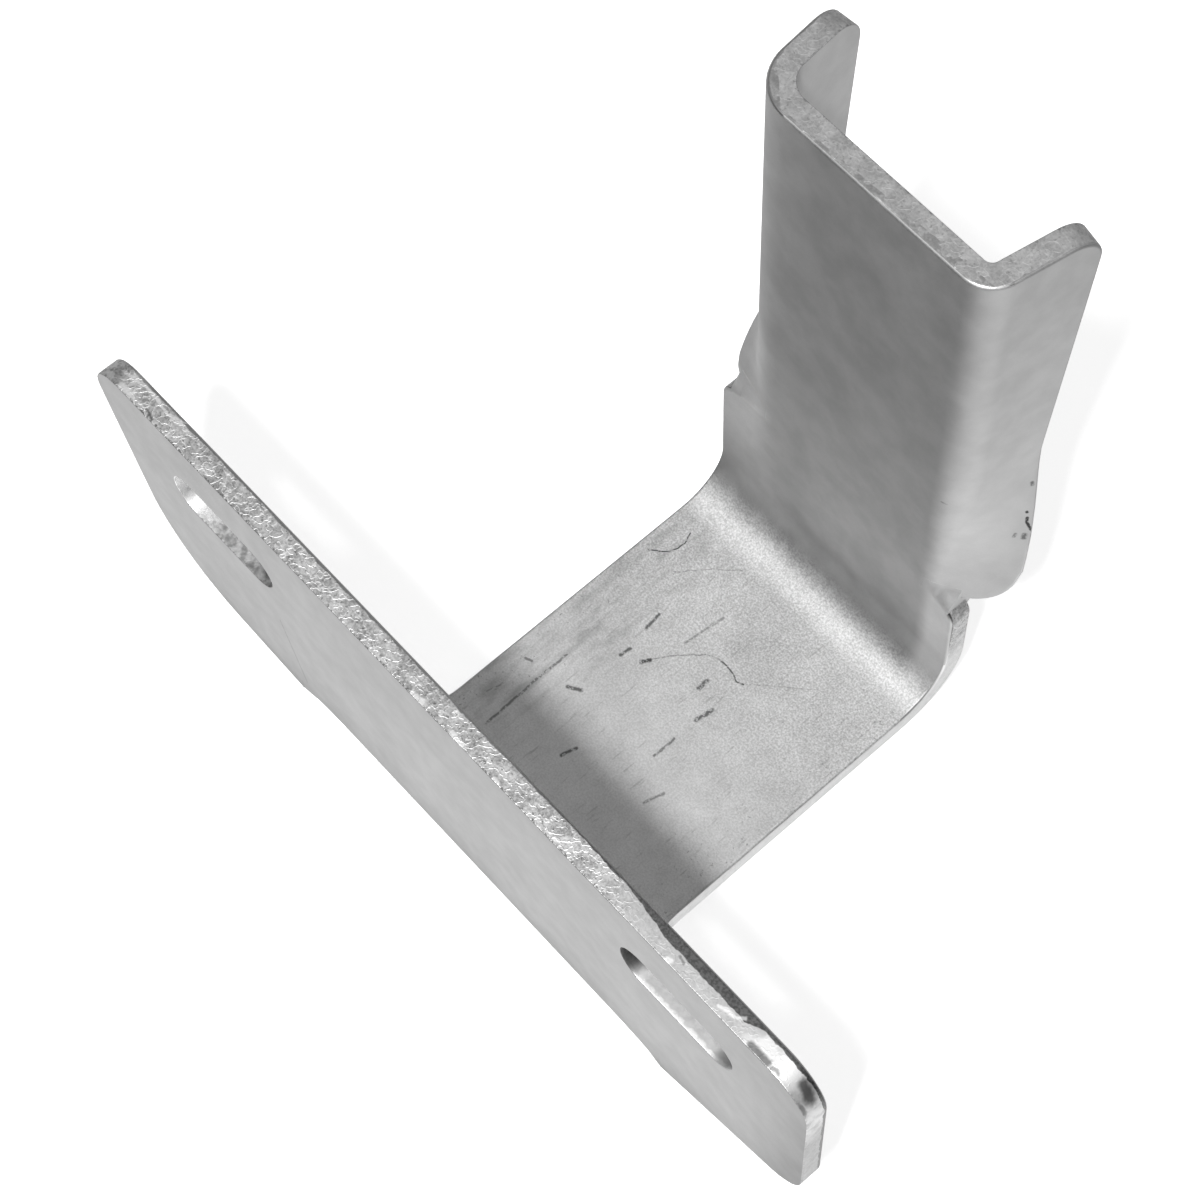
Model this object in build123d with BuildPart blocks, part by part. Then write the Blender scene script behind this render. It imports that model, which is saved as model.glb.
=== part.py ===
import os
from math import asin, cos, degrees, pi, radians, sin

from build123d import *

os.makedirs("parts", exist_ok=True)

# Muffler bracket, folded from one steel sheet. Millimetres, +Z up.
# The origin is the middle of the two slots, on the plate's front face.
# Sketches are drawn from the strap: X from its middle, Y from the plate's front face
# and heights from its underside.

# The strap's middle and underside, from the origin
strap_x = 3.3
strap_z = -30.4

# The sheet and its bends. Flat lengths are measured along the neutral line.
sheet = 3.0
neutral_share = 0.45
near_bend_inner = 3.1
far_bend_inner = 6.5

# The strap, from the plate to the web
strap_half = 19.2
strap_flare_radius = 12.0
flattest_share = 0.08
neck_steps = 8
web_front = 55.8

# The plate, and how high its two feet stand beside the strap
plate_top = 42.5
plate_left_top_x = -62.8
plate_left_low_x = -54.6
plate_left_low_height = 6.0
plate_right_x = 53.8
plate_right_low_height = 10.9
plate_foot_height = 3.4
left_low_round = 16.0
left_top_round = 5.0
right_low_round = 7.0
right_top_round = 6.0

# The two slots in the plate
slot_width = 7.0
slot_length = 17.3
slot_spacing = 75.0

# The channel: a flat web with a flange folded back from each side
channel_x = 0.5
channel_top = 89.0
flange_top_round = 4.0

# Each flange, from the end of the web's flat. Below ear_top it opens out into an ear,
# which ends just above the shoulder of the sheet beside it.
left_flange = dict(
    side=-1,
    web_flat=11.6,
    fold_inner=3.0,
    fold=85.0,
    top_flat=15.4,
    low_flat=12.4,
    ear_top=48.0,
    ear_fold=13.0,
    ear_flat=7.6,
    ear_round=3.0,
    shoulder=26.0,
)
right_flange = dict(
    side=1,
    web_flat=13.2,
    fold_inner=1.0,
    fold=79.5,
    top_flat=14.2,
    low_flat=11.2,
    ear_top=50.0,
    ear_fold=30.0,
    ear_flat=10.2,
    ear_round=8.0,
    shoulder=21.8,
)
ear_steps = 5
ear_round_turn = 75
notch_gap = 0.6
notch_end_x = 16.2
shoulder_round = 2.5

# Worked out from the sizes above
neutral = neutral_share * sheet
near_bend_outer = near_bend_inner + sheet
far_bend_outer = far_bend_inner + sheet
web_back = web_front + sheet
near_bend_flat = (near_bend_inner + neutral) * pi / 2
foot_flat = near_bend_outer - plate_foot_height
flare_x = strap_half + strap_flare_radius
flare_y = near_bend_outer - near_bend_flat + foot_flat + strap_flare_radius
flare_turn = asin((flare_y - near_bend_outer) / strap_flare_radius)
flare_bend_x = flare_x - strap_flare_radius * cos(flare_turn)

plate_corners = [
    ((plate_left_low_x, plate_left_low_height), left_low_round),
    ((plate_left_top_x, plate_top), left_top_round),
    ((plate_right_x, plate_right_low_height), right_low_round),
    ((plate_right_x, plate_top), right_top_round),
]

side_plane = Plane(origin=(strap_x, 0, strap_z), x_dir=(0, 1, 0), z_dir=(1, 0, 0))
front_plane = Plane(origin=(strap_x, 0, strap_z), x_dir=(1, 0, 0), z_dir=(0, -1, 0))
plan_plane = Plane(origin=(strap_x, 0, strap_z), x_dir=(1, 0, 0), z_dir=(0, 0, 1))
channel_plane = Plane(origin=(strap_x + channel_x, 0, strap_z), x_dir=(1, 0, 0), z_dir=(0, 0, 1))


def neck_section(x, cut):
    """Side outline of the sheet below the plate, where the flare cuts its bend short at cut."""
    flat = near_bend_flat - near_bend_outer + cut
    share = (flare_x - x) / (flare_x - flare_bend_x)
    bent = flattest_share + (1 - flattest_share) * sin(pi / 2 * share)
    turn = flat / (near_bend_inner + neutral) * bent
    inner = flat / turn - neutral
    outer = inner + sheet

    def at(radius, angle):
        return (outer - radius * cos(angle), near_bend_outer - radius * sin(angle))

    Line(at(outer, 0), at(inner, 0))
    ThreePointArc(at(inner, 0), at(inner, turn / 2), at(inner, turn))
    Line(at(inner, turn), at(outer, turn))
    ThreePointArc(at(outer, turn), at(outer, turn / 2), at(outer, 0))


def flange_section(flange, angle, flat):
    """Outline in plan of a fold and its flange, from inside the web to the free edge."""
    side = flange["side"]
    inner = flange["fold_inner"]
    outer = inner + sheet
    turn = radians(angle)
    length = flat - (inner + neutral) * turn
    root_x = side * (flange["web_flat"] - sheet)

    def at(radius, bend, beyond):
        x = flange["web_flat"] + radius * sin(bend) + beyond * cos(bend)
        y = outer - radius * cos(bend) + beyond * sin(bend)
        return (side * x, web_front + y)

    Line((root_x, web_front), at(outer, 0, 0))
    ThreePointArc(at(outer, 0, 0), at(outer, turn / 2, 0), at(outer, turn, 0))
    Line(at(outer, turn, 0), at(outer, turn, length))
    Line(at(outer, turn, length), at(inner, turn, length))
    Line(at(inner, turn, length), at(inner, turn, 0))
    ThreePointArc(at(inner, turn, 0), at(inner, turn / 2, 0), at(inner, 0, 0))
    Line(at(inner, 0, 0), (root_x, web_back))
    Line((root_x, web_back), (root_x, web_front))


with BuildPart() as bracket:
    # Bend, strap, bend and web as one side profile
    with BuildSketch(side_plane) as side_profile:
        with BuildLine():
            Line((0, near_bend_outer + sheet), (0, near_bend_outer))
            CenterArc((near_bend_outer, near_bend_outer), near_bend_outer, 180, 90)
            Line((near_bend_outer, 0), (web_back - far_bend_outer, 0))
            CenterArc((web_back - far_bend_outer, far_bend_outer), far_bend_outer, 270, 90)
            Line((web_back, far_bend_outer), (web_back, channel_top))
            Line((web_back, channel_top), (web_front, channel_top))
            Line((web_front, channel_top), (web_front, far_bend_outer))
            CenterArc((web_front - far_bend_inner, far_bend_outer), far_bend_inner, 270, 90)
            Line((web_front - far_bend_inner, sheet), (near_bend_outer, sheet))
            CenterArc((near_bend_outer, near_bend_outer), near_bend_inner, 180, 90)
            Line((sheet, near_bend_outer), (sheet, near_bend_outer + sheet))
            Line((sheet, near_bend_outer + sheet), (0, near_bend_outer + sheet))
        make_face()
    extrude(amount=flare_bend_x, both=True)

    # In plan the strap is straight and starts to flare before the bend
    with BuildSketch(plan_plane.offset(-sheet)) as strap_plan:
        with BuildLine():
            flare_arc = degrees(flare_turn)
            Line((-strap_half, web_back + sheet), (strap_half, web_back + sheet))
            Line((strap_half, web_back + sheet), (strap_half, flare_y))
            CenterArc((flare_x, flare_y), strap_flare_radius, 180, flare_arc)
            Line((flare_bend_x, near_bend_outer), (flare_bend_x, -sheet))
            Line((flare_bend_x, -sheet), (-flare_bend_x, -sheet))
            Line((-flare_bend_x, -sheet), (-flare_bend_x, near_bend_outer))
            CenterArc((-flare_x, flare_y), strap_flare_radius, -flare_arc, flare_arc)
            Line((-strap_half, flare_y), (-strap_half, web_back + sheet))
        make_face()
    extrude(amount=channel_top + 2 * sheet, mode=Mode.INTERSECT)

    # Beside the strap the bend flattens out into the plate
    for side in (-1, 1):
        for step in range(neck_steps + 1):
            turn = flare_turn + (pi / 2 - flare_turn) * step / neck_steps
            x = flare_x - strap_flare_radius * cos(turn)
            with BuildSketch(side_plane.offset(side * x)) as neck:
                with BuildLine():
                    neck_section(x, flare_y - strap_flare_radius * sin(turn))
                make_face()
        loft(ruled=True)

    # The plate, with its tapering ends
    with BuildSketch(front_plane) as plate_face:
        with BuildLine():
            Polyline(
                (-flare_x, near_bend_outer),
                (-flare_x, plate_foot_height),
                (plate_left_low_x, plate_left_low_height),
                (plate_left_top_x, plate_top),
                (plate_right_x, plate_top),
                (plate_right_x, plate_right_low_height),
                (flare_x, plate_foot_height),
                (flare_x, near_bend_outer),
                close=True,
            )
        make_face()
        for corner, corner_round in plate_corners:
            fillet(plate_face.vertices().sort_by_distance(corner)[0], corner_round)
    extrude(amount=-sheet)

    # The sheet beside the web is cut away above its shoulders, with a narrow notch inwards
    for flange in (left_flange, right_flange):
        side = flange["side"]
        flange_x = channel_x + side * (flange["web_flat"] - sheet / 2)
        notch_top = flange["shoulder"] + notch_gap
        beyond_x = side * (strap_half + sheet)
        with BuildSketch(front_plane.offset(-web_back - sheet)) as beside_web:
            with BuildLine():
                Polyline(
                    (flange_x, channel_top + sheet),
                    (flange_x, notch_top),
                    (side * notch_end_x, notch_top),
                    (side * notch_end_x, flange["shoulder"]),
                    (beyond_x, flange["shoulder"]),
                    (beyond_x, channel_top + sheet),
                    close=True,
                )
            make_face()
        extrude(amount=3 * sheet, mode=Mode.SUBTRACT)
        corner = (strap_x + side * strap_half, web_front + sheet / 2, strap_z + flange["shoulder"])
        fillet(bracket.edges().filter_by(Axis.Y).sort_by_distance(corner)[0], shoulder_round)

    # Channel sides: straight above, opening out towards the notch below
    for flange in (left_flange, right_flange):
        with BuildSketch(channel_plane.offset(channel_top)) as top_section:
            with BuildLine():
                flange_section(flange, flange["fold"], flange["top_flat"])
            make_face()
        with BuildSketch(channel_plane.offset(flange["ear_top"])) as middle_section:
            with BuildLine():
                flange_section(flange, flange["fold"], flange["low_flat"])
            make_face()
        loft(ruled=True)

        ear_foot = flange["shoulder"] + notch_gap
        for step in range(ear_steps + 1):
            share = step / ear_steps
            ease = share * share * (3 - 2 * share)
            angle = flange["ear_fold"] + ease * (flange["fold"] - flange["ear_fold"])
            flat = flange["ear_flat"] + share * share * (flange["low_flat"] - flange["ear_flat"])
            height = ear_foot + share * (flange["ear_top"] - ear_foot)
            with BuildSketch(channel_plane.offset(height)) as ear:
                with BuildLine():
                    flange_section(flange, angle, flat)
                make_face()
        loft()

        # The ear's free corner is rounded, in its own plane
        side = flange["side"]
        turn = radians(flange["ear_fold"])
        ear_round = flange["ear_round"]
        ear_plane = Plane(
            origin=(strap_x + channel_x + side * flange["web_flat"], web_front, strap_z),
            x_dir=(side * cos(turn), sin(turn), 0),
            z_dir=(sin(turn), -side * cos(turn), 0),
        )
        fold_outer = flange["fold_inner"] + sheet
        ear_edge = flange["ear_flat"] - (flange["fold_inner"] + neutral) * turn + fold_outer * sin(turn)
        beyond_ear = ear_edge + 2 * sheet
        arc_x = ear_edge - ear_round
        with BuildSketch(ear_plane) as ear_corner:
            with BuildLine():
                arc = CenterArc((arc_x, ear_foot + ear_round), ear_round, -90, ear_round_turn)
                leave = Line(arc @ 1, arc @ 1 + (arc % 1) * 4 * sheet)
                Line(leave @ 1, (beyond_ear, flange["shoulder"]))
                Line((beyond_ear, flange["shoulder"]), (arc_x, flange["shoulder"]))
                Line((arc_x, flange["shoulder"]), arc @ 0)
            make_face()
        extrude(amount=4 * sheet, both=True, mode=Mode.SUBTRACT)
    top_edges = bracket.edges().group_by(Axis.Z)[-1]
    fillet(top_edges.sort_by(Axis.Y)[-2:], flange_top_round)

    # The slots
    with BuildSketch(Plane.XZ) as slots:
        with Locations((-slot_spacing / 2, 0), (slot_spacing / 2, 0)):
            SlotOverall(slot_length, slot_width)
    extrude(amount=-sheet, mode=Mode.SUBTRACT)

bracket.part.label = "bracket"
export_step(bracket.part, "parts/bracket.step")
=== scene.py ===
import math

import bmesh
import bpy
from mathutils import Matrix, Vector
from mathutils.bvhtree import BVHTree


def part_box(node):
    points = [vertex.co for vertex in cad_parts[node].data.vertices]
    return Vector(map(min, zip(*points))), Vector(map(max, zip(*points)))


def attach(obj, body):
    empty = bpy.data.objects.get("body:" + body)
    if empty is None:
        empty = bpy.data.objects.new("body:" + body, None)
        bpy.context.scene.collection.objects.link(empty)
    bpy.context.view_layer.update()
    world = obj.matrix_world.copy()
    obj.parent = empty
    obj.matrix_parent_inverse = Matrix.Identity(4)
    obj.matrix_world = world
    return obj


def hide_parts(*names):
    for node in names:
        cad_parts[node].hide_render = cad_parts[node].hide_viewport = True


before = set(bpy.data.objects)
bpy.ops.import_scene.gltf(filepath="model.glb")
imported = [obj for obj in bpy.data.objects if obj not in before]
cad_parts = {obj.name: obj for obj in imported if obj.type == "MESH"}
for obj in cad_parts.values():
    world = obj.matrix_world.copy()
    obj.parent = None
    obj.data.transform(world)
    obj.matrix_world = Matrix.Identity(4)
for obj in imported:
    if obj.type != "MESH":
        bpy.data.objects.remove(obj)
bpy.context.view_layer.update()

# Muffler bracket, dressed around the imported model. Metres, with small sizes in MM.
MM = 0.001
UP = Vector((0, 0, 1))
TO_FRONT = Vector((0, -1, 0))
TO_BACK = Vector((0, 1, 0))

# Camera
camera_place = (0.1163, -0.06844, 0.31831)
camera_turn = (26.026, 0.423, 47.733)
camera_lens = 95.96
camera_sensor = 36
camera_shift = (-0.0628, -0.0282)
camera_near = 0.01

# The sheet, as part.py makes it. The plate's front is at y = 0.
plate_thickness = 3 * MM
web_front = 55.8 * MM
web_back = 58.8 * MM
strap_top = -27.4 * MM
strap_middle = 3.3 * MM
slot_middle = 37.5 * MM
# Each ear: where its fill starts and ends beside the web, and its foot
right_ear = (17.5 * MM, 21.6 * MM, -8.0 * MM)
left_ear = (-8.6 * MM, -14.4 * MM, -3.8 * MM)

# Materials of the piece, in the order of its slots
ON_FACE, ON_EDGE, ON_STRAP, ON_FLANGE, ON_PLATE = range(5)

# How faces are told apart
join_distance = 0.02 * MM
rejoin_distance = join_distance / 4
flat_angle = math.radians(0.4)
sharp_angle = math.radians(40)
looks_that_way = 0.99
looks_straight = 0.999
same_level = 0.1 * MM
right_flange_start = 18 * MM
right_flange_turn = 0.2

# Edges of the sheet
rollover = 0.4 * MM
rollover_steps = 3
burr_break = 0.12 * MM
burr_steps = 2
round_profile = 0.5
most_proud = 0.03 * MM
most_sunk = 0.2 * MM

# Fills of the notches below the ears
notch_height = 0.9 * MM
notch_before_web = 1 * MM
fill_skin = 0.01 * MM
fill_rise = 2.4 * MM
ear_corner_rise = 0.9 * MM
fill_columns = 16
fill_steps = 12
look_from_below = 6 * MM
look_from_afar = 5 * MM

# Marks, in mm: a line through these places, its width and how dark it is
strap_marks = [
    ([(-14.2, 42.3), (-12.2, 44.0), (-11.8, 46.1), (-12.4, 47.6)], 0.16, 0.75),
    ([(-10.1, 13.0), (-10.4, 20.0), (-10.4, 25.8)], 0.34, 0.5),
    ([(-6.6, 35.1), (-6.9, 37.4)], 0.4, 0.6),
    ([(-6.1, 30.5), (-5.9, 31.9)], 0.42, 0.6),
    ([(-3.7, 31.7), (-3.2, 32.7)], 0.5, 0.7),
    ([(-2.0, 37.2), (-1.4, 42.8)], 0.3, 0.35),
    ([(-3.5, 32.4), (-1.8, 35.1), (0.8, 38.1), (2.4, 38.8)], 0.18, 0.35),
    ([(2.4, 38.8), (4.7, 38.8), (5.8, 38.3), (6.6, 38.7)], 0.2, 0.65),
    ([(3.4, 34.4), (3.4, 35.8)], 0.55, 0.6),
    ([(6.2, 31.5), (6.5, 33.7)], 0.5, 0.6),
    ([(6.3, 24.8), (6.2, 28.0)], 0.32, 0.5),
    ([(-1.1, 16.8), (-0.7, 18.7)], 0.4, 0.6),
    ([(9.8, 19.9), (10.5, 22.5)], 0.34, 0.4),
    ([(-7.2, 23.2), (-5.8, 24.1)], 0.45, 0.6),
    ([(-13.2, 15.7), (-12.7, 17.8)], 0.26, 0.35),
    ([(-13.4, 21.9), (-12.6, 22.3)], 0.3, 0.45),
    ([(-9.9, 42.5), (-7.2, 46.0), (-4.5, 48.7)], 0.15, 0.25),
    ([(7.1, 39.3), (10.3, 42.2), (13.0, 44.6)], 0.14, 0.2),
]
plate_marks = [([(-29.3, -10.2), (-28.4, -14.8), (-26.7, -23.3)], 0.15, 0.3)]
ear_marks = [
    ([(64.1, 8.7), (64.1, 8.6)], 0.3, 0.8),
    ([(64.0, 7.8), (63.9, 7.1), (64.0, 6.2), (64.3, 5.3)], 0.28, 1.0),
    ([(65.2, 12.6), (65.2, 13.0)], 0.4, 0.5),
    ([(63.4, 5.4), (63.2, 4.9)], 0.45, 0.5),
    ([(62.6, 5.6), (62.4, 5.2)], 0.3, 0.4),
    ([(55.9, 13.9), (56.2, 13.7)], 0.25, 0.3),
]
# Painted highlights along the plate's top edge, given as the marks are
edge_highlights = [
    ([(-54.6, 1.7), (-51.4, 2.5), (-47.0, 1.9), (-45.6, 2.3), (-44.9, 2.8)], 0.35, 1.0),
    ([(-53.5, 0.5), (-51.5, 0.6)], 0.7, 0.9),
    ([(-3.6, 0.25), (-2.0, 0.25)], 0.5, 1.0),
    ([(2.6, 0.25), (4.6, 0.25)], 0.55, 1.0),
    ([(9.6, 0.25), (10.2, 0.25)], 0.5, 1.0),
    ([(18.6, 0.5), (19.2, 0.5)], 0.4, 1.0),
    ([(36.1, 0.3), (36.5, 0.3)], 0.6, 1.0),
    ([(43.2, 0.8), (45.2, 1.3), (45.9, 1.9)], 0.45, 1.0),
    ([(49.2, 1.4), (54.4, 1.2)], 1.4, 1.0),
]
edge_darks = [
    ([(48.4, 0.4), (50.9, 0.4)], 0.8, 0.75),
    ([(51.6, 0.4), (52.1, 0.5)], 0.5, 0.6),
    ([(54.7, 1.7), (55.6, 1.4)], 1.2, 0.85),
    ([(55.9, 0.3), (56.3, 0.3)], 0.6, 0.6),
    ([(36.9, 1.4), (37.5, 1.2)], 0.3, 0.5),
    ([(-49.0, 0.6), (-47.6, 0.3)], 0.3, 0.7),
]

# How far marks wander from their lines, and how soft a line is, as shares of its width
wander_size = 1.2 * MM
wander_detail = 2
strap_wander = 0.45 * MM
face_wander = 0.12 * MM
edge_wander = 0.8 * MM
line_core = 0.2
line_rim = 0.8
# Tone of the painted highlights, and of the dark marks
highlight_tone = 1.0
dark_tone = 0.1

# Noises, each with its size, detail and roughness
noise_middle = 0.5
cloud_noise = (9 * MM, 3, 0.55)
smudge_noise = (2.6 * MM, 2, 0.5)
grain_noise = (0.24 * MM, 2, 0.6)
fleck_noise = (0.35 * MM, 2, 0.6)
speck_noise = (0.5 * MM, 3, 0.7)
wave_noise = (1.6 * MM, 3, 0.6)
crystal_noise = (0.3 * MM, 2, 0.6)
pit_noise = (0.45 * MM, 2, 0.6)
ridge_noise = (1.1 * MM, 1.5, 0.5)
slot_noise = (0.9 * MM, 3, 0.6)
floor_noise = (50 * MM, 2, 0.5)
# Noises drawn out along the strap, each with its scale across, its scale along and its detail
rub_noise = (2.2 / MM, 0.3 / MM, 3.0)
smear_noise = (0.8 / MM, 0.22 / MM, 4.0)

# Plated faces. Each band says where it begins and ends, then its value at both.
strap_z = (strap_top + 0.6 * MM, strap_top + 4 * MM, 1.0, 0.0)
strap_y = (5 * MM, 12 * MM, 0.0, 1.0)
far_bend_y = (50 * MM, 53.5 * MM, 0.0, 1.0)
far_bend_z = (-20 * MM, -5 * MM, 1.0, 0.0)
upright_y = (52 * MM, 55 * MM, 0.0, 1.0)
right_side_x = (17 * MM, 19.5 * MM, 0.0, 1.0)
left_side_x = (-11 * MM, -7 * MM, 1.0, 0.0)
frost_y = (18 * MM, 46 * MM, 0.5, 1.3)
# Painted light low on the right flange and ear, painted shade higher up on it
right_side_painted_light_z = (-6 * MM, 50 * MM, 0.1, -0.07)
# Painted light on the left ear and flange, faded out below its fill and down towards the strap
left_side_painted_light_z = (8 * MM, 20 * MM, 0.28, 0.14)
left_below_fill_z = (-4.4 * MM, -3.2 * MM, 0.7, 1.0)
left_foot_z = (-22 * MM, -6 * MM, 0.0, 1.0)
# Painted light on the front of the fill below the left ear, lifting the shade there
left_fill_painted_light_low_z = (-4.3 * MM, -3.1 * MM, 0.0, 1.0)
left_fill_painted_light_high_z = (-2.4 * MM, -0.8 * MM, 0.16, 0.0)
web_shade_z = (-10 * MM, 30 * MM, 0.16, 0.14)
web_shade_x = (-9 * MM, -2 * MM, 0.5, 1.0)
# Painted light on the strap close to the plate, where the plate's shadow falls
near_plate_painted_light_y = (12 * MM, 24 * MM, 0.06, 0.0)
bend_shade = 0.05
cloud_tone = (0.3, 0.7, 0.585, 0.655)
smudge_tone = (0.3, 0.7, -0.02, 0.02)
grain_tone = (0.25, 0.75, -1.0, 1.0)
grain_on_frost = 0.11
grain_elsewhere = 0.022
cloud_rough = (0.3, 0.7, 0.55, 0.61)
grain_rough = (0.2, 0.8, -0.06, 0.06)
strap_rough = 0.1
bend_smooth = 0.05
least_grain_height = 0.25
grain_bump = (0.02 * MM, 0.6)

# Flecks in the marks, and grit on the strap
fleck_level = (0.36, 0.52, 0.4, 1.4)
dirty_x = (8 * MM, 18 * MM, -0.04, 0.06)
cloud_dirt = (0.3, 0.7, -0.04, 0.04)
speck_level = (0.66, 0.76, 0.0, 0.45)
rub_level = (0.6, 0.74, 0.0, 0.25)
smear_level = (0.42, 0.72, 0.0, 0.26)
smear_x = (-11 * MM, -3 * MM, 1.0, 0.0)

# Sheared edges: their parts
edge_plate_y = (3.2 * MM, 3.4 * MM, 1.0, 0.0)
edge_channel_z = (50 * MM, 52 * MM, 0.0, 1.0)
edge_top_z = (3.9 * MM, 4.1 * MM, 0.0, 1.0)
edge_strap_y = (5 * MM, 8 * MM, 0.0, 1.0)
edge_strap_z = (-22 * MM, -14 * MM, 1.0, 0.0)
right_half_x = (20 * MM, 34 * MM, 0.0, 1.0)
left_end_x = (-54 * MM, -50 * MM, 1.0, 0.0)
corner_x = (46 * MM, 49 * MM, 0.0, 1.0)
corner_z = (-2 * MM, 5 * MM, 0.0, 1.0)
slot_reach_x = (8.8 * MM, 9 * MM, 1.0, 0.0)
slot_reach_z = (3.6 * MM, 3.8 * MM, 1.0, 0.0)
# The smooth band, wide near the plate's right end
wide_from_x = (26 * MM, 36 * MM, 0.0, 1.0)
wide_to_x = (46 * MM, 49 * MM, 1.0, 0.25)
wide_extra = 0.32
band_wave = (0.25, 0.75, -0.05, 0.05)
smooth_band = (0.86, 0.89, 0.0, 1.0)
rolled_band = (0.91, 0.95, 0.0, 1.0)
# The smooth band's tone as painted reflection, dark, lighter on the channel and the plate's left part;
# the rollover's tone, with a painted highlight on the channel
smooth_painted_reflection = (0.3, 0.7, 0.15, 0.29)
channel_painted_reflection = 0.36
left_half_painted_reflection_x = (8 * MM, 20 * MM, 0.2, 0.0)
rollover_tone_and_highlight = (0.0, 1.0, 0.65, 1.0)
# The broken part: how calm it is, then its tones
calm_right = (0.0, 1.0, 1.0, 0.3)
calm_slot = (0.0, 1.0, 1.0, 0.4)
calm_channel = (0.0, 1.0, 1.0, 0.5)
ridge_level = (0.0, 0.045, 1.0, 0.0)
ridge_tone_x = (-24 * MM, -8 * MM, 0.3, 0.14)
crystal_tone = (0.3, 0.7, -0.13, 0.13)
wave_tone = (0.35, 0.65, -0.16, 0.12)
broken_tone = 0.66
pit_level = (0.28, 0.42, 0.7, 0.0)
pit_tone = 0.15
# Painted highlight on the plate's rounded top right corner
corner_painted_highlight = (0.3, 0.6, 0.7, 1.0)
burr_wave = (0.3, 0.7, -0.06, 0.08)
burr_band = (0.0, 0.06, 1.0, 0.0)
burr_tone = 0.25
# Painted light on the plate's left end, and how much painted light is mixed in
left_end_painted_light = (0.4, 0.6, 0.1, 0.9)
painted_light_share = 0.75
broken_rough = 0.5
smooth_rough = 0.3
ridge_height = 0.5
crystal_height = 0.6
edge_bump = (0.06 * MM, 0.6)
# Painted light inside the slots
slot_uneven = (0.3, 0.7, -0.25, 0.2)
left_slot_start_x = (-43 * MM, -39.5 * MM, 1.1, 0.62)
left_slot_end_x = (-36 * MM, -31 * MM, 1.0, 0.7)
right_slot_start_x = (29.4 * MM, 32.5 * MM, 0.25, 1.0)
right_slot_end_x = (43 * MM, 45.4 * MM, 1.0, 0.8)
right_slot_front = (0.05, 0.2, 1.05, 0.66)
right_slot_wave = 0.3
right_slot_uneven = 0.25
right_slot_side_x = (-1 * MM, 1 * MM, 0.0, 1.0)

# Floor
floor_half = 1.5
floor_tone = (0.3, 0.7, 0.80, 0.82)
floor_rough = 0.9
floor_glow = 0.68

# Light. Each glow of the room: the way to it, how narrow it is and its strength.
white = (1, 1, 1, 1)
ambient = 0.02
glows = [
    ((0, 0, 1), 2.0, 0.48),
    ((0, 0, -1), 2.0, 0.45),
    ((1, -0.3, -1), 3.0, 0.92),
    ((-1, 0.2, -0.4), 4.0, 0.35),
    ((0, 1, 0.2), 3.0, 0.35),
]
key_way = (0.25, -0.5, 1.0)
key_distance = 0.75
key_size = 0.08
key_power = 5.8
card_x = -0.03
card_y = -0.04
card_lift = 2 * MM
card_size = (0.16, 0.075)
card_power = 0.02


def grow(seed):
    """The faces reached from the seed without crossing a sharp edge."""
    found = {seed}
    waiting = [seed]
    while waiting:
        for edge in waiting.pop().edges:
            if edge.calc_face_angle(math.pi) < sharp_angle:
                for face in edge.link_faces:
                    if face not in found:
                        found.add(face)
                        waiting.append(face)
    return found


def largest(faces, direction, y):
    """The largest flat face that looks in a direction, at a given y."""
    found = [
        face
        for face in faces
        if face.normal.dot(direction) > looks_that_way
        and abs(face.calc_center_median().y - y) < same_level
    ]
    return max(found, key=lambda face: face.calc_area())


def by_notch(point):
    """Whether a point is on the narrow notch between an ear and its shoulder."""
    return any(
        min(start, end) < point.x < max(start, end)
        and abs(point.z - foot) < notch_height
        and point.y > web_front - notch_before_web
        for start, end, foot in (right_ear, left_ear)
    )


def side_edges(bm, side):
    """The sharp edges around one side of the sheet, apart from the notches."""
    return [
        edge
        for edge in bm.edges
        if len(edge.link_faces) == 2
        and (edge.link_faces[0] in side) != (edge.link_faces[1] in side)
        and not any(by_notch(vertex.co) for vertex in edge.verts)
    ]


def tree_of(faces):
    """A search tree of some faces."""
    points = []
    polygons = []
    for face in faces:
        polygons.append([len(points) + k for k in range(len(face.verts))])
        points.extend(vertex.co.copy() for vertex in face.verts)
    return BVHTree.FromPolygons(points, polygons)


def choose_materials(bm, front, back):
    """The sheared edges, and the faces with marks of their own, get their own materials."""
    for face in bm.faces:
        face.smooth = True
        middle = face.calc_center_median()
        if face not in front and face not in back:
            face.material_index = ON_EDGE
        elif face.normal.z > looks_straight and abs(middle.z - strap_top) < same_level:
            face.material_index = ON_STRAP
        elif (
            middle.x > right_flange_start
            and middle.y > web_front
            and face.normal.x > right_flange_turn
        ):
            face.material_index = ON_FLANGE
        elif face.normal.y < -looks_straight and abs(middle.y) < same_level:
            face.material_index = ON_PLATE
        else:
            face.material_index = ON_FACE


def round_edges(bm, front, back):
    """The sheared edges rolled over at the back of the sheet and just broken at its front."""
    for side, width, steps in (
        (back, rollover, rollover_steps),
        (front, burr_break, burr_steps),
    ):
        bmesh.ops.bevel(
            bm,
            geom=side_edges(bm, side),
            offset=width,
            offset_type="OFFSET",
            segments=steps,
            profile=round_profile,
            affect="EDGES",
            clamp_overlap=False,
            loop_slide=True,
            material=-1,
        )


def keep_close(bm, tree):
    """Vertices that the rounding took too far off the sheet go back onto it."""
    for vertex in bm.verts:
        place, normal, _, distance = tree.find_nearest(vertex.co)
        proud = (vertex.co - place).dot(normal) > 0
        if distance > (most_proud if proud else most_sunk):
            vertex.co = place


def ease(share):
    """A share from 0 to 1 that changes slowly at both ends."""
    return share * share * (3 - 2 * share)


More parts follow.
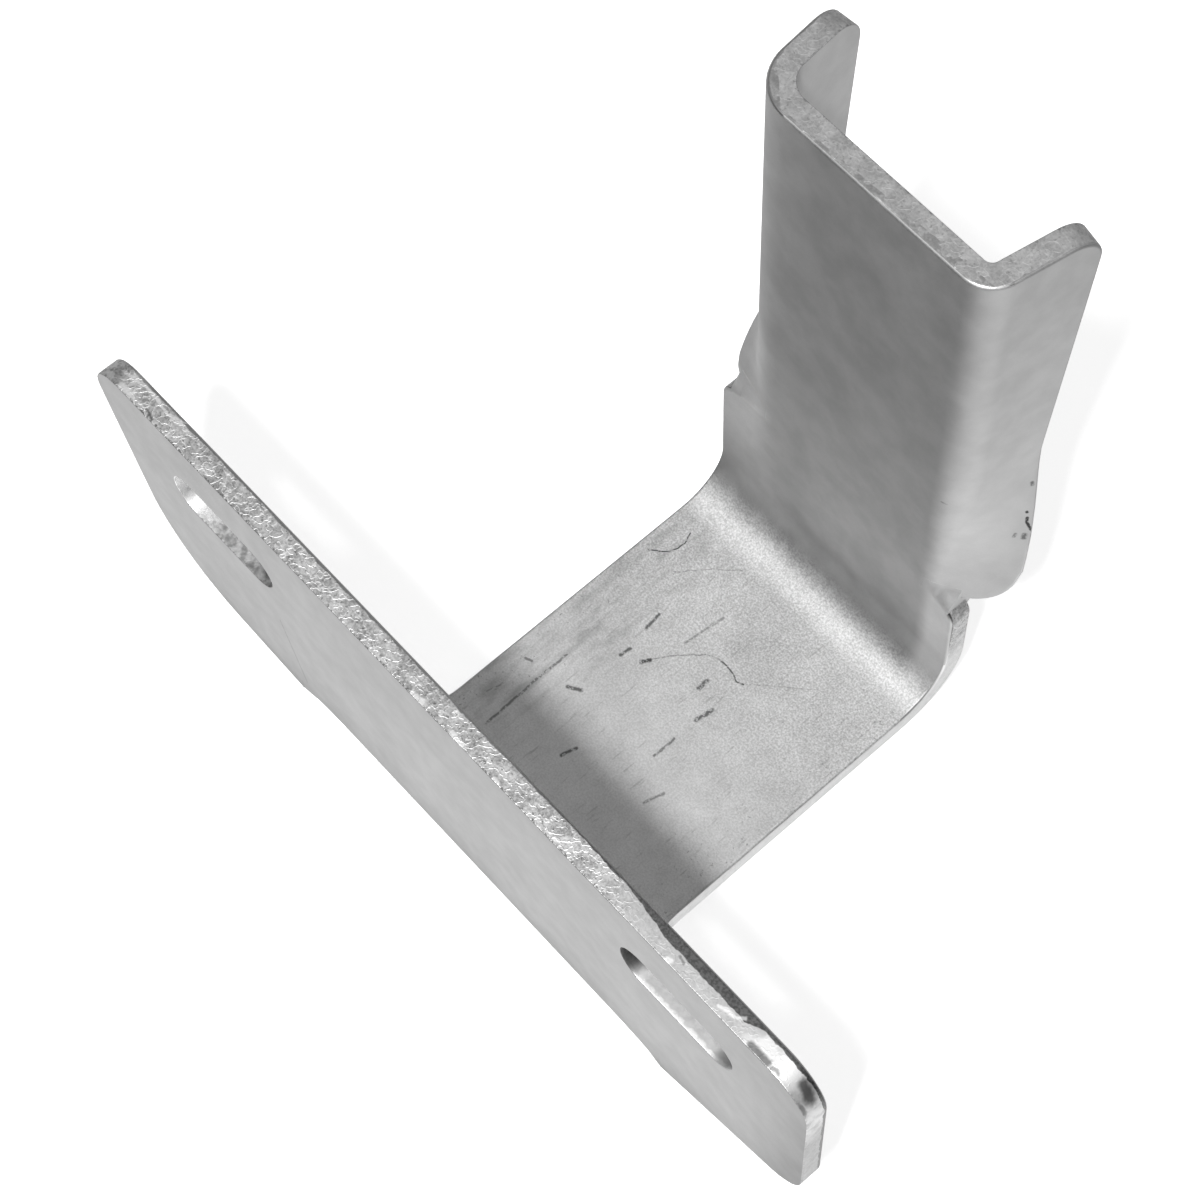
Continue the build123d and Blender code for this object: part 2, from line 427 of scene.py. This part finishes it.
def fill_notch(bm, tree, ear):
    """The sheet drawn together between an ear and the shoulder below it, as a closed fill."""
    start, end, foot = ear
    sections = []
    for column in range(fill_columns + 1):
        x = start + (end - start) * column / fill_columns
        below = Vector((x, web_front + 2 * fill_skin, foot - look_from_below))
        low = tree.ray_cast(below, UP)[0].z
        section = []
        # Up the front, from the shoulder to the ear
        for step in range(fill_steps + 1):
            share = step / fill_steps
            z = low + share * (foot + fill_rise - low)
            before = Vector((x, web_front - look_from_afar, max(z, foot + ear_corner_rise)))
            ear_front = tree.ray_cast(before, TO_BACK)[0].y
            y = web_front + ease(share) * (ear_front - web_front) - fill_skin
            section.append(Vector((x, y, z)))
        # Down the back, from the ear to the shoulder
        behind = Vector((x, web_back + look_from_afar, foot + ear_corner_rise))
        ear_back = tree.ray_cast(behind, TO_FRONT)[0].y
        for step in range(fill_steps + 1):
            share = 1 - step / fill_steps
            z = low - fill_rise + share * (foot - low + fill_rise)
            y = web_back + ease(share) * (ear_back - web_back) + fill_skin
            section.append(Vector((x, y, z)))
        sections.append([bm.verts.new(point) for point in section])

    made = []
    count = len(sections[0])
    for one, other in zip(sections, sections[1:]):
        for k in range(count):
            after = (k + 1) % count
            face = bm.faces.new((one[k], one[after], other[after], other[k]))
            face.smooth = k not in (fill_steps, count - 1)
            made.append(face)
    made.append(bm.faces.new(sections[0][::-1]))
    made.append(bm.faces.new(sections[-1]))
    bmesh.ops.recalc_face_normals(bm, faces=made)
    for face in made:
        for edge in face.edges:
            edge.smooth = all(neighbour.smooth for neighbour in edge.link_faces)


def measure_through(bm, front_tree, back_tree):
    """How far through the sheet each vertex is, from 0 at its front to 1 at its back."""
    through = bm.verts.layers.float.new("through")
    for vertex in bm.verts:
        to_front = front_tree.find_nearest(vertex.co)[3]
        to_back = back_tree.find_nearest(vertex.co)[3]
        vertex[through] = to_front / (to_front + to_back)


def make_bracket(node):
    """The folded sheet with its sheared edges rounded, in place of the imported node."""
    bm = bmesh.new()
    bm.from_mesh(node.data)
    bmesh.ops.remove_doubles(bm, verts=bm.verts, dist=join_distance)
    bmesh.ops.dissolve_limit(bm, angle_limit=flat_angle, verts=bm.verts, edges=bm.edges)
    bm.normal_update()
    front = grow(largest(bm.faces, TO_FRONT, 0))
    back = grow(largest(bm.faces, TO_BACK, plate_thickness))
    front_tree = tree_of(front)
    back_tree = tree_of(back)
    whole_tree = BVHTree.FromBMesh(bm)
    choose_materials(bm, front, back)
    round_edges(bm, front, back)
    keep_close(bm, whole_tree)
    bmesh.ops.remove_doubles(bm, verts=bm.verts, dist=rejoin_distance)
    for ear in (right_ear, left_ear):
        fill_notch(bm, whole_tree, ear)
    measure_through(bm, front_tree, back_tree)
    mesh = bpy.data.meshes.new("folded_sheet")
    bm.to_mesh(mesh)
    bm.free()
    piece = bpy.data.objects.new("folded_sheet", mesh)
    bpy.context.scene.collection.objects.link(piece)
    normals = piece.modifiers.new("normals", "WEIGHTED_NORMAL")
    normals.keep_sharp = True
    return piece


class Paint:
    """Nodes of one material, linked as they are made."""

    def __init__(self, name):
        self.material = bpy.data.materials.new(name)
        self.material.use_nodes = True
        self.nodes = self.material.node_tree.nodes
        self.links = self.material.node_tree.links
        self.surface = self.nodes["Principled BSDF"]
        self.place = self.nodes.new("ShaderNodeTexCoord").outputs["Object"]
        self.x, self.y, self.z = self.add("ShaderNodeSeparateXYZ", Vector=self.place).outputs

    def add(self, kind, values=(), **inputs):
        """A node with its settings and its inputs, given by name or, after an underscore, by number."""
        node = self.nodes.new(kind)
        for name, value in dict(values).items():
            setattr(node, name, value)
        for name, value in inputs.items():
            key = int(name[1:]) if name[0] == "_" else name.replace("_", " ")
            socket = node.inputs[key]
            if isinstance(value, bpy.types.NodeSocket):
                self.links.new(value, socket)
            else:
                socket.default_value = value
        return node

    def math(self, operation, first, second=0.0, clamp=False):
        values = {"operation": operation, "use_clamp": clamp}
        return self.add("ShaderNodeMath", values, _0=first, _1=second).outputs[0]

    def times(self, first, *others):
        """The product of some values."""
        for other in others:
            first = self.math("MULTIPLY", first, other)
        return first

    def plus(self, first, *others):
        """The sum of some values."""
        for other in others:
            first = self.math("ADD", first, other)
        return first

    def most(self, first, *others):
        """The largest of some values."""
        for other in others:
            first = self.math("MAXIMUM", first, other)
        return first

    def apart(self, first, second):
        """How far two values are apart."""
        return self.math("ABSOLUTE", self.math("SUBTRACT", first, second))

    def vector(self, operation, first, second=(0, 0, 0)):
        return self.add("ShaderNodeVectorMath", {"operation": operation}, _0=first, _1=second)

    def noise(self, size, detail, rough):
        """Noise from 0 to 1, with features of about the size given."""
        return self.add(
            "ShaderNodeTexNoise", Vector=self.place, Scale=1 / size, Detail=detail, Roughness=rough
        ).outputs[0]

    def drawn_out(self, scale_x, scale_y, detail):
        """Noise with a scale of its own along x and along y."""
        place = self.vector("MULTIPLY", self.place, (scale_x, scale_y, 1.0)).outputs[0]
        return self.add("ShaderNodeTexNoise", Vector=place, Scale=1.0, Detail=detail).outputs[0]

    def between(self, value, low, high, to_low, to_high):
        """The value taken from one range to another, and kept in it."""
        return self.add(
            "ShaderNodeMapRange",
            {"interpolation_type": "SMOOTHSTEP"},
            Value=value, From_Min=low, From_Max=high, To_Min=to_low, To_Max=to_high,
        ).outputs[0]

    def mix(self, share, first, second):
        """Two grey values mixed."""
        node = self.add("ShaderNodeMix", {"data_type": "FLOAT"}, _0=share, _2=first, _3=second)
        return node.outputs[0]

    def grey(self, tone):
        """A grey value as a colour."""
        return self.add("ShaderNodeCombineColor", Red=tone, Green=tone, Blue=tone).outputs[0]

    def bump(self, height, distance, strength):
        return self.add("ShaderNodeBump", Height=height, Distance=distance, Strength=strength).outputs[0]

    def line(self, place, start, end, width, depth):
        """A soft line between two places, as deep as asked on it and 0 off it."""
        run = Vector(end) - Vector(start)
        from_start = self.vector("SUBTRACT", place, start).outputs[0]
        share = self.vector("DOT_PRODUCT", from_start, run / run.length_squared).outputs["Value"]
        share = self.math("ADD", share, 0.0, clamp=True)
        nearest = self.add(
            "ShaderNodeVectorMath", {"operation": "SCALE"}, _0=tuple(run), Scale=share
        ).outputs[0]
        distance = self.vector("DISTANCE", from_start, nearest).outputs["Value"]
        return self.between(distance, line_core * width, line_rim * width, depth, 0.0)

    def marks(self, marks, axes, wander, flecked=True):
        """All marks of one face as one mask. The axes are those that their places are given in."""
        noise = self.add(
            "ShaderNodeTexNoise", Vector=self.place, Scale=1 / wander_size, Detail=wander_detail
        )
        shift = self.vector("SUBTRACT", noise.outputs[1], (noise_middle,) * 3).outputs[0]
        shift = self.vector("MULTIPLY", shift, (wander,) * 3).outputs[0]
        place = self.vector("ADD", self.place, shift).outputs[0]
        kept = [float(axis in axes) for axis in range(3)]
        place = self.vector("MULTIPLY", place, kept).outputs[0]
        lines = []
        for points, width, depth in marks:
            ends = []
            for pair in points:
                point = [0.0, 0.0, 0.0]
                for axis, value in zip(axes, pair):
                    point[axis] = value * MM
                ends.append(tuple(point))
            for start, end in zip(ends, ends[1:]):
                lines.append(self.line(place, start, end, width * MM, depth))
        mask = self.most(*lines)
        if flecked:
            mask = self.times(mask, self.between(self.noise(*fleck_noise), *fleck_level))
        return mask

    def finish(self, tone, roughness, normal):
        """The material, as metal with this tone, roughness and normal."""
        self.surface.inputs["Metallic"].default_value = 1.0
        self.links.new(self.grey(tone), self.surface.inputs["Base Color"])
        self.links.new(roughness, self.surface.inputs["Roughness"])
        self.links.new(normal, self.surface.inputs["Normal"])
        return self.material


def strap_grit(paint, cloud):
    """Specks, rub marks and a smear on the strap, as one mask."""
    off_middle = paint.apart(paint.x, strap_middle)
    specks = paint.plus(
        paint.noise(*speck_noise),
        paint.between(off_middle, *dirty_x),
        paint.between(cloud, *cloud_dirt),
    )
    smear = paint.between(paint.drawn_out(*smear_noise), *smear_level)
    return paint.most(
        paint.between(specks, *speck_level),
        paint.between(paint.drawn_out(*rub_noise), *rub_level),
        paint.times(smear, paint.between(paint.x, *smear_x)),
    )


def plated_face(name, marks=None, axes=None, grit=False):
    """Dull bright zinc plating on rolled sheet, frosted on the strap, with the marks of one face."""
    paint = Paint(name)
    x, y, z = paint.x, paint.y, paint.z
    cloud = paint.noise(*cloud_noise)
    grain = paint.noise(*grain_noise)

    # Parts of the sheet
    on_strap = paint.times(paint.between(z, *strap_z), paint.between(y, *strap_y))
    on_bend = paint.times(paint.between(y, *far_bend_y), paint.between(z, *far_bend_z))
    on_upright = paint.between(y, *upright_y)
    right_side = paint.times(paint.between(x, *right_side_x), on_upright)
    left_side = paint.times(paint.between(x, *left_side_x), on_upright)
    on_web = paint.math("SUBTRACT", on_upright, right_side)
    frost = paint.times(on_strap, paint.between(y, *frost_y))

    # Their tones, with painted light and shade on the right side, painted light on the left side, on the
    # fill below the left ear and on the strap near the plate, and painted shade on the web and the far
    # bend
    uneven = paint.plus(paint.times(frost, grain_on_frost), grain_elsewhere)
    tone = paint.plus(
        paint.between(cloud, *cloud_tone),
        paint.between(paint.noise(*smudge_noise), *smudge_tone),
        paint.times(paint.between(grain, *grain_tone), uneven),
        # painted light low on the right side, painted shade higher up
        paint.times(right_side, paint.between(z, *right_side_painted_light_z)),
        # painted light on the left ear and flange
        paint.times(
            left_side,
            paint.between(z, *left_side_painted_light_z),
            paint.between(z, *left_below_fill_z),
            paint.between(z, *left_foot_z),
        ),
        # painted light on the fill below the left ear
        paint.times(
            left_side,
            paint.between(z, *left_fill_painted_light_low_z),
            paint.between(z, *left_fill_painted_light_high_z),
        ),
        # painted light on the strap near the plate
        paint.times(on_strap, paint.between(y, *near_plate_painted_light_y)),
    )
    web_shade = paint.times(on_web, paint.between(z, *web_shade_z), paint.between(x, *web_shade_x))
    shade = paint.plus(web_shade, paint.times(on_bend, bend_shade))
    tone = paint.math("SUBTRACT", tone, shade)
    if marks:
        dark = paint.marks(marks, axes, strap_wander if grit else face_wander)
        if grit:
            dark = paint.most(dark, strap_grit(paint, cloud))
        tone = paint.mix(dark, tone, dark_tone)

    roughness = paint.plus(
        paint.between(cloud, *cloud_rough),
        paint.times(on_strap, strap_rough),
        paint.times(on_bend, -bend_smooth),
        paint.between(grain, *grain_rough),
    )
    height = paint.times(grain, paint.plus(frost, least_grain_height))
    return paint.finish(tone, roughness, paint.bump(height, *grain_bump))


def painted_slot_light(paint, through):
    """Painted light inside the slots: the left one painted light at its left end, the right one along
    its front.
    """
    x = paint.x
    uneven = paint.between(paint.noise(*slot_noise), *slot_uneven)
    left_slot = paint.plus(
        paint.times(paint.between(x, *left_slot_start_x), paint.between(x, *left_slot_end_x)),
        uneven,
    )
    front_edge = paint.plus(through, paint.times(uneven, right_slot_wave))
    right_slot = paint.plus(
        paint.times(
            paint.between(x, *right_slot_start_x),
            paint.between(x, *right_slot_end_x),
            paint.between(front_edge, *right_slot_front),
        ),
        paint.times(uneven, right_slot_uneven),
    )
    return paint.mix(paint.between(x, *right_slot_side_x), left_slot, right_slot)


def sheared_edge():
    """A sheared edge: smooth near the side where the punch went in, then broken, with curling ridges."""
    paint = Paint("sheared_edge")
    x, y, z = paint.x, paint.y, paint.z
    through = paint.add("ShaderNodeAttribute", {"attribute_name": "through"}).outputs["Fac"]
    wave = paint.noise(*wave_noise)
    crystal = paint.noise(*crystal_noise)
    pit = paint.noise(*pit_noise)
    ridge = paint.apart(paint.noise(*ridge_noise), noise_middle)
    ridge = paint.between(ridge, *ridge_level)

    # Parts of the edge
    on_plate = paint.between(y, *edge_plate_y)
    on_top = paint.times(on_plate, paint.between(z, *edge_top_z))
    on_strap = paint.times(paint.between(y, *edge_strap_y), paint.between(z, *edge_strap_z))
    on_channel = paint.between(z, *edge_channel_z)
    right_half = paint.times(paint.between(x, *right_half_x), on_plate)
    left_end = paint.times(on_plate, paint.between(x, *left_end_x))
    corner = paint.times(paint.between(x, *corner_x), paint.between(z, *corner_z), on_plate)
    in_slot = paint.times(
        paint.between(paint.apart(paint.math("ABSOLUTE", x), slot_middle), *slot_reach_x),
        paint.between(paint.math("ABSOLUTE", z), *slot_reach_z),
        on_plate,
    )

    # The broken part, calmer in the slots, on the channel and along the right half of the plate
    calm = paint.times(
        paint.between(right_half, *calm_right),
        paint.between(in_slot, *calm_slot),
        paint.between(on_channel, *calm_channel),
    )
    broken = paint.plus(
        paint.between(crystal, *crystal_tone),
        paint.times(ridge, paint.between(x, *ridge_tone_x)),
        paint.between(wave, *wave_tone),
    )
    broken = paint.plus(paint.times(broken, calm), broken_tone)
    broken = paint.mix(paint.times(paint.between(pit, *pit_level), calm), broken, pit_tone)
    # painted light inside the slots
    broken = paint.mix(in_slot, broken, painted_slot_light(paint, through))
    # painted highlight on the plate's rounded top right corner
    broken = paint.mix(corner, broken, paint.between(wave, *corner_painted_highlight))
    burr = paint.between(paint.plus(through, paint.between(pit, *burr_wave)), *burr_band)
    broken = paint.mix(paint.times(burr, calm), broken, burr_tone)

    # The smooth band, and the rollover beside it. The smooth band's tone is a painted reflection: dark,
    # lighter on the channel and the plate's left part. The rollover gets a painted highlight on the
    # channel
    wide = paint.times(paint.between(x, *wide_from_x), paint.between(x, *wide_to_x), on_plate)
    depth = paint.plus(through, paint.between(wave, *band_wave), paint.times(wide, wide_extra))
    smooth = paint.between(depth, *smooth_band)
    burnish_painted_reflection = paint.plus(
        paint.between(crystal, *smooth_painted_reflection),
        paint.times(on_channel, channel_painted_reflection),
        paint.times(paint.between(x, *left_half_painted_reflection_x), on_plate),
    )
    tone = paint.mix(smooth, broken, burnish_painted_reflection)
    rolled = paint.between(through, *rolled_band)
    tone = paint.mix(rolled, tone, paint.between(on_channel, *rollover_tone_and_highlight))

    # Painted light on the strap's sheared sides and the plate's left end, painted highlights on the
    # plate's top edge, and dark spots
    bright = paint.plus(on_strap, paint.times(left_end, paint.between(wave, *left_end_painted_light)))
    tone = paint.mix(paint.times(bright, painted_light_share), tone, highlight_tone)
    # painted highlights along the plate's top edge, and dark spots
    for marks, mark_tone in ((edge_highlights, highlight_tone), (edge_darks, dark_tone)):
        mask = paint.marks(marks, (0, 1), edge_wander, flecked=False)
        tone = paint.mix(paint.times(mask, on_top), tone, mark_tone)

    roughness = paint.mix(smooth, broken_rough, smooth_rough)
    height = paint.times(
        paint.plus(paint.times(ridge, ridge_height), paint.times(crystal, crystal_height)),
        calm,
        paint.math("SUBTRACT", 1.0, smooth),
    )
    return paint.finish(tone, roughness, paint.bump(height, *edge_bump))


def floor_paint():
    """Pale matt floor, bright enough to leave only a faint shadow."""
    paint = Paint("pale_floor")
    tone = paint.between(paint.noise(*floor_noise), *floor_tone)
    paint.links.new(paint.grey(tone), paint.surface.inputs["Base Color"])
    paint.surface.inputs["Roughness"].default_value = floor_rough
    paint.surface.inputs["Emission Color"].default_value = white
    paint.surface.inputs["Emission Strength"].default_value = floor_glow
    return paint.material


def area_light(name, place, target, size, power):
    """A soft light that looks at its target."""
    data = bpy.data.lights.new(name, "AREA")
    data.shape = "RECTANGLE"
    data.size, data.size_y = size
    data.energy = power
    light = bpy.data.objects.new(name, data)
    light.location = place
    light.rotation_euler = (Vector(target) - Vector(place)).to_track_quat("-Z", "Y").to_euler()
    light.visible_camera = False
    bpy.context.scene.collection.objects.link(light)


def studio():
    """A pale room, brighter where its glows are."""
    world = bpy.data.worlds.new("studio")
    world.use_nodes = True
    nodes = world.node_tree.nodes
    links = world.node_tree.links
    way = nodes.new("ShaderNodeTexCoord").outputs["Generated"]

    def combine(operation, first, second):
        node = nodes.new("ShaderNodeMath")
        node.operation = operation
        for socket, value in zip(node.inputs, (first, second)):
            if isinstance(value, bpy.types.NodeSocket):
                links.new(value, socket)
            else:
                socket.default_value = value
        return node.outputs[0]

    total = ambient
    for direction, narrow, strength in glows:
        dot = nodes.new("ShaderNodeVectorMath")
        dot.operation = "DOT_PRODUCT"
        links.new(way, dot.inputs[0])
        dot.inputs[1].default_value = Vector(direction).normalized()
        facing = combine("MAXIMUM", dot.outputs["Value"], 0.0)
        glow = combine("MULTIPLY", combine("POWER", facing, narrow), strength)
        total = combine("ADD", glow, total)
    links.new(total, nodes["Background"].inputs["Strength"])
    nodes["Background"].inputs["Color"].default_value = white
    bpy.context.scene.world = world


bracket = make_bracket(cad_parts["bracket"])
for material in (
    plated_face("zinc_plated_face"),
    sheared_edge(),
    plated_face("zinc_plated_strap", strap_marks, (0, 1), grit=True),
    plated_face("zinc_plated_flange", ear_marks, (1, 2)),
    plated_face("zinc_plated_plate", plate_marks, (0, 2)),
):
    bracket.data.materials.append(material)
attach(bracket, "root")
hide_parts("bracket")

low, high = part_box("bracket")
middle = (low + high) / 2

bpy.ops.mesh.primitive_plane_add(size=2 * floor_half, location=(middle.x, middle.y, low.z))
floor = bpy.context.object
floor.name = "floor"
floor.data.materials.append(floor_paint())
floor.visible_glossy = False

studio()
key_place = middle + Vector(key_way).normalized() * key_distance
area_light("key", key_place, middle, (key_size, key_size), key_power)
card_place = (card_x, card_y, low.z + card_lift)
area_light("front_card", card_place, (card_x, card_y, 1), card_size, card_power)

camera_data = bpy.data.cameras.new("camera")
camera_data.lens = camera_lens
camera_data.sensor_width = camera_sensor
camera_data.shift_x, camera_data.shift_y = camera_shift
camera_data.clip_start = camera_near
camera = bpy.data.objects.new("camera", camera_data)
camera.location = camera_place
camera.rotation_euler = [math.radians(angle) for angle in camera_turn]
bpy.context.scene.collection.objects.link(camera)
bpy.context.scene.camera = camera
bpy.context.scene.view_settings.view_transform = "Standard"
